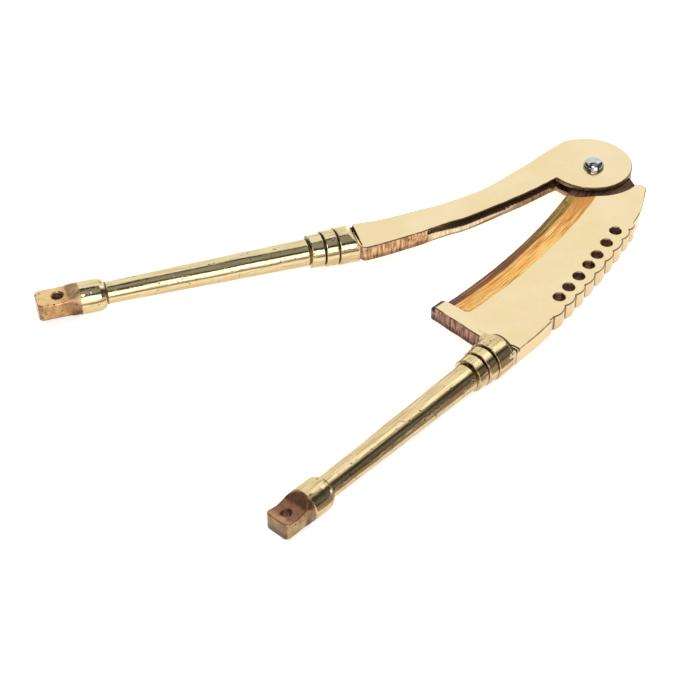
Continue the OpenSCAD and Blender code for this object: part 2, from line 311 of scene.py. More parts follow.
def slotted_field(x, y, z):
    plan, anvil = slotted_plan(x, y)
    uneven = 0.04 + 0.025 * wave(x, y, z, 6.0, 1.0)
    plate = meet(plan + uneven, z - HALF_T, 0.28)
    plate = meet(plate, -HALF_T - z, 1.25)
    inside = slot_line(x, y) + 0.12 * np.sin(x * 0.9) * smoothstep(30, 50, x)
    floor = slot_floor(x)
    slot = np.maximum(np.maximum(-inside, floor - z), z - SLOT_TOP)
    slot = np.maximum(slot, x - SLOT_END_X + 0.4 * np.abs(z - 1.6))
    plate = cut(plate, slot, 0.12)
    # The slot's mouth is filed open under the upper cheek, and the lower cheek stands back.
    mouth = np.maximum(np.maximum(-(anvil + 1.7), z - SLOT_TOP - 0.60 * (anvil + 1.7)), floor - z)
    mouth = np.maximum(mouth, np.maximum(14 - x, x - 63.7 + 0.4 * np.abs(z - 1.6)))
    plate = cut(plate, mouth, 0.1)
    along = np.maximum(16 - x, x - 58.8)
    cheek = np.maximum(np.maximum(-(anvil + 0.8 * smoothstep(52, 34, x)), z - SLOT_LOW), along)
    plate = cut(plate, cheek, 0.15)
    gy = y - OFFSET_A
    nick = np.maximum(np.maximum(plate_nick(x, gy), 2.1 - z), np.abs(gy) - 5.95)
    plate = cut(plate, nick, 0.08)
    grip = grip_field(x, gy, z, TABLE_A, 0.6)
    # The first ring is filed down towards the plate.
    grip = meet(grip, (z - 2.95 - (x - 86.3) * 1.15 + 0.04 * gy) * 0.656, 0.12)
    d = np.minimum(plate, grip)
    lug, hole = lug_field(x, gy, z, 187.4, TOP_A, HOLE_R_A, 1.0)
    d = join(d, lug, 0.25)
    d = cut(d, hole, 0.1)
    return bored(d, x, y, z, BORE_R_A)


# ---- the blade arm, with +Y away from the slotted arm ----

CUT = (99.7 * math.cos(math.radians(7.5)) - 218.9 * math.sin(math.radians(7.5)),
       -218.9 * math.cos(math.radians(7.5)) - 99.7 * math.sin(math.radians(7.5)))
BLADE_EDGE_R = 237.1  # arcs about CUT: the cutting edge, then where the strip, bevel and plate begin
CUT_R = 237.3
STRIP_R = CUT_R + 3.7
BEVEL_R = STRIP_R + 6.5
SPINE = (99.4, -297.0, 335.0)
NOTCHES = [16.2, 20.2, 25.6, 32.3, 38.2, 45.2, 51.7, 57.4, 63.6, 70.0]
HOLES = [23.5, 30.4, 37.2, 43.0, 49.5, 55.8, 61.5]
HOLE_INSET = 3.6
ROW_HOLE_R = 1.9
SOCKET_R = 16.2


def spine_y(x, more=0.0):
    return SPINE[1] + np.sqrt((SPINE[2] + more) ** 2 - (x - SPINE[0]) ** 2)


def from_spine(x, y, places, inset=0.0):
    """Distance to the nearest of the points at these places on the spine, moved in by inset."""
    return np.minimum.reduce([np.sqrt((x - at) ** 2 + (y - spine_y(at) + inset) ** 2) for at in places])


def wander(x):
    """How far the hand-ground bevel strays from its arc."""
    return 0.12 * np.sin(x * 0.17) + 0.06 * np.sin(x * 0.6 + 1.0)


def scalloped_edge():
    """The blade arm's back as heights over x, with a hump between each two notches."""
    rise = 1.0
    xs = np.arange(-3.0, 97.0, 0.1)
    ys = spine_y(xs)
    start = curve((-1.2, 19.9), (8, 26), (NOTCHES[0], spine_y(NOTCHES[0])), 20)
    ys = np.where(xs < NOTCHES[0], np.interp(xs, start[:, 0], start[:, 1]), ys)
    for i in range(len(NOTCHES) - 1):
        a = np.array([NOTCHES[i], spine_y(NOTCHES[i])])
        b = np.array([NOTCHES[i + 1], spine_y(NOTCHES[i + 1])])
        half = np.linalg.norm(b - a) / 2
        r = (half ** 2 + rise ** 2) / (2 * rise)
        inward = np.array([-(b - a)[1], (b - a)[0]]) / (2 * half)
        c = (a + b) / 2 + inward * (rise - r)
        hump = c[1] + np.sqrt(np.maximum(r ** 2 - (xs - c[0]) ** 2, 0))
        ys = np.where((xs >= a[0]) & (xs <= b[0]), np.maximum(ys, hump), ys)
    tail = spine_y(xs, 0.6)
    tail = np.where(xs > 80, np.interp(xs, [80, 91.6, 97], [spine_y(80, 0.6), 38.05, 38.3]), tail)
    return xs, np.where(xs > 72, tail, ys)


EDGE_X, EDGE_Y = scalloped_edge()


def blade_plan(x, y):
    back = edge_field(x, y, EDGE_X, EDGE_Y)
    toe = (x - 90.4) * 0.9976 - (y - 6.0) * 0.0698 + 0.05 * np.sin(y * 0.8)
    plan = np.maximum(meet(back, toe, 0.2), -1.3 - x)
    horn = np.sqrt((x - 0.1) ** 2 + (y - 18.3) ** 2) - 2.35
    plan = join(plan, horn, 0.1)
    reach = np.sqrt((x - CUT[0]) ** 2 + (y - CUT[1]) ** 2)
    plan = meet(plan, BLADE_EDGE_R - reach, 0.2)
    plan = meet(plan, SOCKET_R - np.sqrt(x * x + y * y), 0.2)
    return plan, reach


def bevel_region(x, y):
    """Negative over the part of the plate that is ground, up to the toe's inner wall."""
    a = np.maximum(x - 85.8, y - 15.0)
    b = np.sqrt((x - 83.8) ** 2 + (y - 15.0) ** 2) - 2.0
    return np.minimum(np.minimum(a, b), x - 83.8)


WEB = [(0, 0), (11, 0), (20, 3), (20, 16), (6, 19), (-1, 17.4), (-6, 9.2)]


def ring_nick(x, gy):
    """Two lines filed beside the blade arm's first ring, which run together towards its middle."""
    apart = 0.95 * smoothstep(-1.0, 5.0, gy)
    first = np.maximum(np.abs(x - 89.38) - 0.24, -0.5 - gy)
    second = np.abs(x - 89.30 + apart) - 0.20
    return np.minimum(first, np.maximum(second, -gy))


def blade_field(x, y, z):
    plan, reach = blade_plan(x, y)
    uneven = 0.02 + 0.03 * wave(x, y, z, 6.0, 3.0)
    uneven = uneven + 0.75 * smoothstep(86.5, 89.5, x) * smoothstep(8.0, 5.6, y) * smoothstep(1.6, 3.0, z)
    plate = meet(plan + uneven, z - HALF_T, 0.28)
    plate = meet(plate, -HALF_T - z, 1.2)
    height = np.abs(z)
    strip = (height - 0.1 - (reach - CUT_R) * 0.351) * 0.943
    bevel = (height - 1.4 - (reach + wander(x) - STRIP_R) * 0.246) * 0.971
    ground = np.maximum(strip, bevel)
    region = bevel_region(x, y)
    plate = cut(plate, np.maximum(-ground, region), 0.1)
    hole_row = from_spine(x, y, HOLES, HOLE_INSET) - ROW_HOLE_R
    rim = hole_row - np.clip(height - HALF_T + 0.25, 0, 0.25)
    plate = cut(plate, rim, 0.08)
    disc = np.sqrt(x * x + y * y) - 11.0
    web = np.minimum(disc, polygon_field(x, y, WEB))
    web = np.maximum(web, np.where(x > 11, CUT_R - reach, -9.0))
    tongue = meet(web, np.abs(z - 0.4) - 1.0, 0.15)
    d = join(plate, tongue, 0.15)
    gy = y - OFFSET_B
    grip = grip_field(x, gy, z, TABLE_B, 2.2)
    nick = np.maximum(np.maximum(ring_nick(x, gy), 2.2 - z), np.maximum(gy - 5.95, -4.5 - gy))
    d = cut(d, nick, 0.06)
    # The toe's inner corner is knocked down.
    facet = np.maximum(HALF_T - 0.45 * (1.9 - (reach - BLADE_EDGE_R)) - z, 86.0 - x)
    d = cut(d, np.maximum(facet, y - 9), 0.1)
    d = np.minimum(d, grip)
    lug, hole = lug_field(x, gy, z, 184.9, TOP_B, HOLE_R_B, 3.0, facet=False)
    d = join(d, lug, 0.25)
    d = cut(d, hole, 0.1)
    return bored(d, x, y, z, BORE_R_B)


# ---- from a field to a mesh ----

def sample(field, lo, n, h):
    """The field's values on a grid, worked out in slabs."""
    y = (lo[1] + h * np.arange(n[1]))[None, :, None]
    z = (lo[2] + h * np.arange(n[2]))[None, None, :]
    out = np.empty(n, np.float32)
    for i in range(0, n[0], 64):
        x = (lo[0] + h * np.arange(i, min(i + 64, n[0])))[:, None, None]
        out[i:i + 64] = field(x, y, z)
    return out


def gradient(field, p, e=0.03):
    g = np.empty_like(p)
    for a in range(3):
        q, r = p.copy(), p.copy()
        q[:, a] += e
        r[:, a] -= e
        g[:, a] = (field(*q.T) - field(*r.T)) / (2 * e)
    return g


def settle(field, p, rounds):
    for _ in range(rounds):
        g = gradient(field, p)
        size = np.maximum((g * g).sum(1), 0.2)
        step = np.clip(field(*p.T) / size, -0.3, 0.3)
        p = p - g * step[:, None]
    return p


def surface(field, lo, hi, h):
    """Vertices and four-sided faces on the field's zero surface, evened out and pulled exactly onto it."""
    lo = np.asarray(lo, float)
    n = np.ceil((np.asarray(hi) - lo) / h).astype(int) + 1
    values = sample(field, lo, n, h)
    inside = values < 0
    dims = n - 1
    keys, places, quads = [], [], []
    for a in range(3):
        b, c = (a + 1) % 3, (a + 2) % 3
        low, high = [slice(None)] * 3, [slice(None)] * 3
        low[a], high[a] = slice(0, -1), slice(1, None)
        i = np.argwhere(inside[tuple(low)] != inside[tuple(high)])
        i = i[(i[:, b] > 0) & (i[:, c] > 0) & (i[:, b] < dims[b]) & (i[:, c] < dims[c])]
        j = i.copy()
        j[:, a] += 1
        f0, f1 = values[tuple(i.T)], values[tuple(j.T)]
        p = i.astype(float)
        p[:, a] += f0 / (f0 - f1)
        ring = []
        for db, dc in ((0, 0), (-1, 0), (-1, -1), (0, -1)):
            q = i.copy()
            q[:, b] += db
            q[:, c] += dc
            ring.append(np.ravel_multi_index(q.T, dims))
            places.append(p)
        keys += ring
        ring = np.stack(ring, 1)
        quads.append(np.where((f0 < 0)[:, None], ring, ring[:, ::-1]))
    unique, where = np.unique(np.concatenate(keys), return_inverse=True)
    where = where.ravel()
    places = np.concatenate(places)
    count = np.bincount(where)
    points = np.stack([np.bincount(where, weights=places[:, k]) / count for k in range(3)], 1)
    points = lo + h * points
    quads = np.searchsorted(unique, np.concatenate(quads))
    ends = np.concatenate([quads[:, [0, 1]], quads[:, [1, 2]], quads[:, [2, 3]], quads[:, [3, 0]]])
    valence = np.bincount(ends.ravel(), minlength=len(points))
    points = settle(field, points, 2)
    for _ in range(3):
        mean = np.empty_like(points)
        for k in range(3):
            onward = np.bincount(ends[:, 0], weights=points[ends[:, 1], k], minlength=len(points))
            back = np.bincount(ends[:, 1], weights=points[ends[:, 0], k], minlength=len(points))
            mean[:, k] = (onward + back) / valence
        points = settle(field, 0.5 * points + 0.5 * mean, 1)
    points = settle(field, points, 2)
    normals = gradient(field, points, 0.05)
    normals /= np.maximum(np.linalg.norm(normals, axis=1), 1e-6)[:, None]
    return points, quads, normals


def turned(v, direction):
    a = math.radians(direction)
    return np.stack([v[:, 0] * math.cos(a) - v[:, 1] * math.sin(a),
                     v[:, 0] * math.sin(a) + v[:, 1] * math.cos(a), v[:, 2]], 1)


def build_arm(name, node, body, material, field, lo, hi, direction, marks):
    points, quads, normals = surface(field, lo, hi, GRID)
    world = (turned(points, direction) + PIVOT) / MM_PER_M
    mesh = bpy.data.meshes.new(name)
    mesh.vertices.add(len(world))
    mesh.vertices.foreach_set("co", world.astype(np.float32).ravel())
    mesh.loops.add(quads.size)
    mesh.loops.foreach_set("vertex_index", quads.astype(np.int32).ravel())
    mesh.polygons.add(len(quads))
    mesh.polygons.foreach_set("loop_start", np.arange(0, quads.size, 4, dtype=np.int32))
    mesh.polygons.foreach_set("material_index", np.zeros(len(quads), np.int32))
    mesh.update(calc_edges=True)
    mesh.validate()
    mesh.polygons.foreach_set("use_smooth", np.ones(len(mesh.polygons), bool))
    for key, (kind, values) in marks(points, normals).items():
        attribute = mesh.attributes.new(key, kind, "POINT")
        target = "color" if kind == "FLOAT_COLOR" else "vector"
        attribute.data.foreach_set(target, values.astype(np.float32).ravel())
    mesh.normals_split_custom_set_from_vertices(turned(normals, direction).tolist())
    piece = bpy.data.objects.new(name, mesh)
    bpy.context.scene.collection.objects.link(piece)
    piece.data.materials.append(material)
    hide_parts(node)
    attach(piece, body)


def ring_grooves(x, rho, rings, radii):
    """1 in the bottoms of the three ring grooves, 0 elsewhere."""
    marked = np.zeros_like(x)
    for at, low in zip(rings, (radii[1], radii[2], TAPER_R)):
        near = fade(0.14, 0.42, np.abs(x - at))
        marked = np.maximum(marked, near * fade(low - 0.3, low, rho))
    return marked


FAR = 9.0  # a distance, in mm, at which outlines and notches no longer show


def four(r, g, b, a):
    return "FLOAT_COLOR", np.stack(np.broadcast_arrays(r, g, b, a), 1)


def three(x, y, z):
    return "FLOAT_VECTOR", np.stack(np.broadcast_arrays(x, y, z), 1)


def slotted_marks(p, n):
    """What the shader needs to know about the slotted arm.

    finish: ground bevel, ground strip, cast wall, dark hollow.
    zone: lug, grip, cream cheek, black line.
    lay: the place, drawn out along the file marks.
    spot: distance to the outline, height, distance to a notch.
    form: how far the surface turns down, which sets painted shade, the place along the arm, and the place
    across the bevel from
    0 to 1, or below 0 on a grip's side where a dark reflection is painted.
    """
    x, y, z = p.T
    plan, anvil = slotted_plan(x, y)
    gy = y - OFFSET_A
    rho = np.hypot(gy, z)
    beside = fade(86.45, 86.6, x) * smoothstep(5.8, 6.1, rho)
    body = np.maximum(fade(85.6, 86.4, x), beside)
    wall = fade(0.35, 0.6, np.abs(n[:, 2])) * body
    corner = smoothstep(0.2, 0.5, n[:, 0]) * (x > 84) * (y > 12)
    facing = wall * np.maximum(smoothstep(0.2, 0.5, n[:, 1]), corner)
    in_slot = smoothstep(-0.8, -0.4, slot_line(x, y)) * smoothstep(0.05, 0.3, -anvil) * body
    in_slot = in_slot * smoothstep(-0.25, 0.0, z - slot_floor(x)) * fade(2.75, 2.85, z)
    on_top = smoothstep(0.80, 0.95, n[:, 2]) * (z > 2.4)
    in_slot = in_slot * fade(64.2, 64.8, x) * (1 - on_top)
    # Painted shade on the underside of the slot's filed lip, drawn in black.
    lip_shade = fade(0.3, 0.6, n[:, 2]) * smoothstep(1.5, 1.9, z) * smoothstep(-2.4, -1.8, anvil)
    lip_shade = lip_shade * fade(62.5, 64.0, x) * smoothstep(13.0, 16.0, x) * (y > 2)
    around = facing * band(-12.5, -10.0, 13.0, 16.0, x)
    ramp = smoothstep(173.6, 174.4, x + 0.25 * np.sin(gy * 3.0))
    ramp = ramp * fade(177.0, 178.6, x + 0.5 * np.sin(gy * 2.0 + z))
    facet = smoothstep(0.30, 0.45, n[:, 0]) * smoothstep(0.35, 0.5, n[:, 1])
    facet = facet * smoothstep(183.5, 184.0, x)
    hole = fade(0.12, 0.3, np.hypot(x - HOLE_X, gy) - HOLE_R_A)
    lug = smoothstep(KNOB_END - 0.4, KNOB_END + 0.2, x)
    nick = fade(-0.05, 0.2, plate_nick(x, gy)) * fade(5.75, 6.0, np.abs(gy))
    nick = nick * band(1.6, 1.9, 2.8, 2.95, z)
    seam = fade(0.08, 0.3, np.abs(x - 86.35)) * fade(1.8, 2.4, z) * smoothstep(0.3, 0.6, n[:, 1])
    neck = fade(0.2, 0.45, np.abs(x - NECK_X)) * fade(3.8, 4.1, rho)
    grooves = ring_grooves(x, rho, *RINGS_A[1:3])
    # The saw chattered near the slot's end and left ribs; glints on them are painted as lighter stripes.
    rib_glints = (0.5 + 0.5 * np.sin(x * 7.3)) * band(50, 55, 61.5, 63.0, x)
    dark = np.maximum.reduce([in_slot * (0.88 - 0.4 * rib_glints), hole * lug, around * 0.85, facet * lug * 0.75])
    black = np.maximum.reduce([nick, seam * 0.7, neck * 0.8, grooves * 0.85, lip_shade * 0.85])
    cheek = wall * smoothstep(0.0, 0.3, n[:, 1]) * fade(-0.05, 0.2, z - slot_floor(x))
    cheek = cheek * fade(61.0, 64.0, x) * (x > 16) * (y > 2)
    cream = cheek * smoothstep(24, 42, x)
    cast = np.maximum.reduce([facing * (1 - cream) * (1 - dark), cheek * (1 - cream), ramp * lug * 0.8])
    grip = smoothstep(86.2, 87.0, x) * (1 - lug)
    steep = (wall > 0.5) | (in_slot > 0.5)
    lay_x = np.where(x > 87, x * 0.10, np.where(in_slot > 0.5, x * 1.7, np.where(steep, x, x * 0.12)))
    lay_y = np.where(x > 87, np.arctan2(gy, z) * 5.0, np.where(steep, z * 0.12, y))
    # How far the surface turns down; the shader paints shade by it.
    turn = fade(-0.30, 0.50, n[:, 2])
    flank_reflection = grip * band(0.13, 0.19, 0.26, 0.31, n[:, 2])
    return {"finish": four(0.0 * x, 0.0 * x, cast, dark), "zone": four(lug, grip, cream, black),
            "lay": three(lay_x, lay_y, z * 0.12), "spot": three(np.where(x > 85.5, -FAR, plan), z, FAR),
            "form": three(turn, x, -flank_reflection)}


def blade_marks(p, n):
    """The same attributes for the blade arm."""
    x, y, z = p.T
    plan, reach = blade_plan(x, y)
    gy = y - OFFSET_B
    rho = np.hypot(gy, z)
    ringed = smoothstep(88.6, 89.6, x) * smoothstep(25.6, 26.4, y)
    body = 1 - ringed
    region = fade(-0.15, 0.1, bevel_region(x, y))
    flat = smoothstep(0.5, 0.7, np.abs(n[:, 2]))
    past = reach + wander(x)
    bevel = region * flat * smoothstep(-0.08, 0.08, past - STRIP_R) * fade(-0.5, 0.15, past - BEVEL_R)
    strip = region * flat * fade(-0.08, 0.08, past - STRIP_R)
    wall = fade(0.35, 0.6, np.abs(n[:, 2])) * body
    toe_end = wall * smoothstep(0.6, 0.8, n[:, 0]) * smoothstep(86.5, 88.0, x) * fade(25.5, 26.5, y)
    toe_in = wall * smoothstep(0.4, 0.7, -n[:, 0]) * smoothstep(80.0, 82.0, x)
    edge = reach - BLADE_EDGE_R
    corner = fade(1.5, 1.85, edge) * smoothstep(85.7, 86.0, x) * (y < 9) * smoothstep(0.6, 1.2, z)
    root = smoothstep(-1.1, -0.3, bevel_region(x, y)) * region * flat * fade(-0.6, 0.0, past - BEVEL_R)
    scallop = wall * smoothstep(0.4, 0.7, n[:, 1]) * band(8.0, 12.0, 70.0, 72.0, x)
    tongue = fade(0.0, 0.35, np.hypot(x, y) - SOCKET_R) * fade(1.7, 2.0, z)
    socket = wall * fade(0.1, 0.35, np.abs(np.hypot(x, y) - SOCKET_R))
    hole = fade(0.0, 0.1, from_spine(x, y, HOLES, HOLE_INSET) - ROW_HOLE_R)
    lug = smoothstep(KNOB_END - 0.4, KNOB_END + 0.2, x)
    saddle = smoothstep(174.2, 174.9, x) * fade(182.0, 183.6, x + 0.4 * np.sin(gy * 2))
    saddle = saddle * smoothstep(0.35, 0.6, n[:, 2])
    patch = band(174.4, 174.9, 176.8, 178.0, x) * smoothstep(0.5, 0.7, n[:, 1])
    front = smoothstep(0.5, 0.7, n[:, 0]) * smoothstep(183.5, 184.2, x)
    bore = fade(0.12, 0.3, np.hypot(x - HOLE_X, gy) - HOLE_R_B)
    nick = fade(-0.05, 0.18, ring_nick(x, gy)) * band(-4.8, -4.2, 5.75, 6.0, gy)
    nick = nick * band(1.7, 2.0, 2.8, 2.95, z)
    seam = fade(0.1, 0.32, np.abs(x - 89.45)) * fade(1.8, 2.4, z) * smoothstep(0.3, 0.6, n[:, 1]) * (y > 34)
    neck = fade(0.2, 0.45, np.abs(x - NECK_X)) * fade(3.8, 4.1, rho)
    grooves = ring_grooves(x, rho, *RINGS_B[1:3])
    low_side = smoothstep(0.5, 0.2, n[:, 2]) * smoothstep(0.2, 0.6, n[:, 1])
    dark = np.maximum.reduce([hole, bore * lug, tongue, socket * 0.9, root * 0.55,
                              grooves * low_side * 0.5])
    # Painted shadow along the crest of the first ring, drawn in black.
    crest_shadow = smoothstep(89.4, 89.6, x) * fade(90.4, 91.0, x - 0.05 * gy) * smoothstep(2.9, 3.3, z) * (y > 24)
    black = np.maximum.reduce([nick, seam * 0.5, crest_shadow * 0.9, neck * 0.8, grooves * (1 - 0.7 * low_side),
                               corner * 0.9, tongue * 0.6, socket * 0.5])
    cast = np.maximum.reduce([toe_end, toe_in, saddle * 0.9, patch * 0.9, front * 0.85, scallop * 0.12])
    grip = np.maximum(ringed * smoothstep(89.2, 89.8, x), smoothstep(96, 97, x)) * (1 - lug)
    notch = np.minimum(from_spine(x, y, NOTCHES), FAR)
    ground = (bevel + strip) > 0.5
    steep = wall > 0.5
    on_grip = grip > 0.5
    lay_x = np.where(ground, x * 0.022, np.where(on_grip, x * 0.10, np.where(steep, x + y, x * 0.12)))
    lay_y = np.where(on_grip, np.arctan2(gy, z) * 5.0, np.where(steep, z * 0.12, y))
    lay_y = np.where(ground, past * 0.85, lay_y)
    lay_z = np.where(ground, 0.0, z * 0.12)
    # How far the surface turns down; the shader paints shade by it.
    turn = fade(-0.30, 0.50, n[:, 2])
    flank_reflection = grip * band(0.10, 0.18, 0.46, 0.56, n[:, 2])
    return {"finish": four(bevel, strip, cast, dark), "zone": four(lug, grip, 0.0 * x, black),
            "lay": three(lay_x, lay_y, lay_z),
            "spot": three(np.where((x > 88.8) & (y > 26), -FAR, plan), z, notch),
            "form": three(turn, x, np.where(on_grip, -flank_reflection, (past - STRIP_R) / (BEVEL_R - STRIP_R)))}


# ---- materials ----

class Graph:
    """Short names for the nodes that the metals are made of."""

    def __init__(self, name):
        self.material = bpy.data.materials.new(name)
        self.material.use_nodes = True
        self.tree = self.material.node_tree
        self.tree.nodes.clear()
        self.out = self.node("ShaderNodeOutputMaterial")
        self.shader = self.node("ShaderNodeBsdfPrincipled")
        self.link(self.shader.outputs[0], self.out.inputs["Surface"])

    def node(self, kind, **settings):
        n = self.tree.nodes.new(kind)
        for key, value in settings.items():
            setattr(n, key, value)
        return n

    def link(self, a, b):
        self.tree.links.new(a, b)

    def put(self, socket, value):
        if isinstance(value, bpy.types.NodeSocket):
            self.link(value, socket)
        elif isinstance(value, tuple) and len(value) == 3 and socket.type == "RGBA":
            socket.default_value = (*value, 1.0)
        else:
            socket.default_value = value

    def attribute(self, name):
        return self.node("ShaderNodeAttribute", attribute_name=name)

    def split(self, colour_socket):
        n = self.node("ShaderNodeSeparateColor")
        self.link(colour_socket, n.inputs[0])
        return n.outputs

    def parts(self, vector):
        n = self.node("ShaderNodeSeparateXYZ")
        self.link(vector, n.inputs[0])
        return n.outputs

    def tint(self, colour, by):
        n = self.node("ShaderNodeMix", data_type="RGBA", blend_type="MULTIPLY", clamp_result=True)
        n.inputs[0].default_value = 1.0
        self.put(n.inputs[6], colour)
        self.put(n.inputs[7], by)
        return n.outputs[2]

    def math(self, operation, a, b=0.0, clamp=False):
        n = self.node("ShaderNodeMath", operation=operation, use_clamp=clamp)
        self.put(n.inputs[0], a)
        self.put(n.inputs[1], b)
        return n.outputs[0]

    def times(self, a, b, clamp=False):
        return self.math("MULTIPLY", a, b, clamp)

    def plus(self, a, b, clamp=False):
        return self.math("ADD", a, b, clamp)

    def larger(self, a, b):
        return self.math("MAXIMUM", a, b)

    def scaled(self, vector, xyz):
        n = self.node("ShaderNodeVectorMath", operation="MULTIPLY")
        self.link(vector, n.inputs[0])
        n.inputs[1].default_value = xyz
        return n.outputs[0]

    def noise(self, vector, scale, detail=3.0, rough=0.55):
        n = self.node("ShaderNodeTexNoise")
        self.link(vector, n.inputs["Vector"])
        n.inputs["Scale"].default_value = scale
        n.inputs["Detail"].default_value = detail
        n.inputs["Roughness"].default_value = rough
        return n.outputs["Fac"]

    def cells(self, vector, scale):
        n = self.node("ShaderNodeTexVoronoi")
        self.link(vector, n.inputs["Vector"])
        n.inputs["Scale"].default_value = scale
        return n.outputs["Distance"]

    def ramp(self, value, lo, hi):
        """0 below lo and 1 above hi, or the other way round where lo is the larger."""
        n = self.node("ShaderNodeMapRange", interpolation_type="SMOOTHSTEP")
        self.link(value, n.inputs["Value"])
        n.inputs["From Min"].default_value = min(lo, hi)
        n.inputs["From Max"].default_value = max(lo, hi)
        n.inputs["To Min"].default_value = 0.0 if lo < hi else 1.0
        n.inputs["To Max"].default_value = 1.0 if lo < hi else 0.0
        return n.outputs[0]

    def mix(self, factor, a, b):
        n = self.node("ShaderNodeMix", data_type="RGBA")
        self.put(n.inputs[0], factor)
        self.put(n.inputs[6], a)
        self.put(n.inputs[7], b)
        return n.outputs[2]

    def blend(self, factor, a, b):
        n = self.node("ShaderNodeMix", data_type="FLOAT")
        self.put(n.inputs[0], factor)
        self.put(n.inputs[2], a)
        self.put(n.inputs[3], b)
        return n.outputs[0]

    def bump(self, height, distance):
        n = self.node("ShaderNodeBump")
        n.inputs["Strength"].default_value = 1.0
        n.inputs["Distance"].default_value = distance
        self.link(height, n.inputs["Height"])
        return n.outputs[0]


LINE = (0.16, 0.095, 0.045)  # tarnish in corners and along edges, and painted shade along the bottom edges
BLACK = (0.045, 0.024, 0.014)  # dirt in nicks and grooves, and painted shade on the slot's lip and the first ring's crest
PIT = (0.09, 0.05, 0.025)
FLANK_REFLECTION = (0.13, 0.08, 0.032)  # painted dark reflection along a grip's side


def ground_colours(g, along, across, streak, hair):
    """The scratched orange of the bevel, and the olive to umber strip below it."""
    amber = g.mix(g.ramp(across, 0.15, 0.95), (1.0, 0.44, 0.065), (1.0, 0.57, 0.115))
    amber = g.mix(g.ramp(streak, 0.52, 0.42), amber, (0.66, 0.22, 0.03))
    amber = g.mix(g.ramp(hair, 0.54, 0.60), amber, (1.0, 0.84, 0.38))
    amber = g.mix(g.ramp(hair, 0.45, 0.38), amber, (0.34, 0.10, 0.02))
    amber = g.mix(g.times(g.ramp(along, 29.0, 17.0), 0.65), amber, (0.60, 0.24, 0.04))
    umber = g.mix(g.ramp(along, 25.0, 58.0), (0.46, 0.30, 0.065), (0.45, 0.19, 0.07))
    umber = g.mix(g.ramp(along, 72.0, 82.0), umber, (0.24, 0.10, 0.055))
    brown = g.mix(g.ramp(streak, 0.60, 0.42), umber, g.tint(umber, (0.35, 0.33, 0.33)))
    brown = g.mix(g.ramp(hair, 0.57, 0.68), brown, g.tint(umber, (1.9, 1.9, 1.9)))
    return amber, brown


def wall_colour(g, walls, lug, height, streak, hair, patchy):
    """Bare sawn walls: streaked, stained on the lug, and darkened towards the foot by painted shade."""
    raw = g.mix(g.ramp(streak, 0.40, 0.60), *walls)
    stained = g.mix(g.ramp(patchy, 0.42, 0.60), (0.27, 0.125, 0.085), (0.56, 0.33, 0.21))
    raw = g.mix(g.times(lug, 0.9), raw, stained)
    raw = g.mix(g.ramp(hair, 0.58, 0.70), raw, g.tint(raw, (1.5, 1.5, 1.5)))
    # Painted shade darkens the walls towards their foot.
    foot = g.ramp(g.math("SUBTRACT", height, g.times(patchy, 3.0)), -1.5, -3.0)
    return g.mix(g.times(foot, 0.8), raw, g.tint(raw, (0.36, 0.28, 0.24)))


def tarnish_and_bottom_shade(g, outline, height, notch, patchy):
    """How tarnished the notches between scallops and the plates' edges are, from 0 to 1, with painted shade
    along the plates' bottom edges.
    """
    lines = g.times(g.ramp(notch, 0.60, 0.20), g.ramp(height, 2.95, 2.75))
    rim = g.times(g.ramp(outline, -0.36, -0.20), g.ramp(height, 2.45, 2.70))
    rim = g.times(rim, g.times(g.ramp(patchy, 0.30, 0.50), 0.85))
    # Painted shade along the bottom edges, where the rounded edge turns away from the light.
    bottom_edge_shade = g.times(g.times(g.ramp(height, -1.9, -2.5), 0.5), g.ramp(outline, -1.2, -0.9))
    return g.larger(g.larger(lines, rim), bottom_edge_shade)


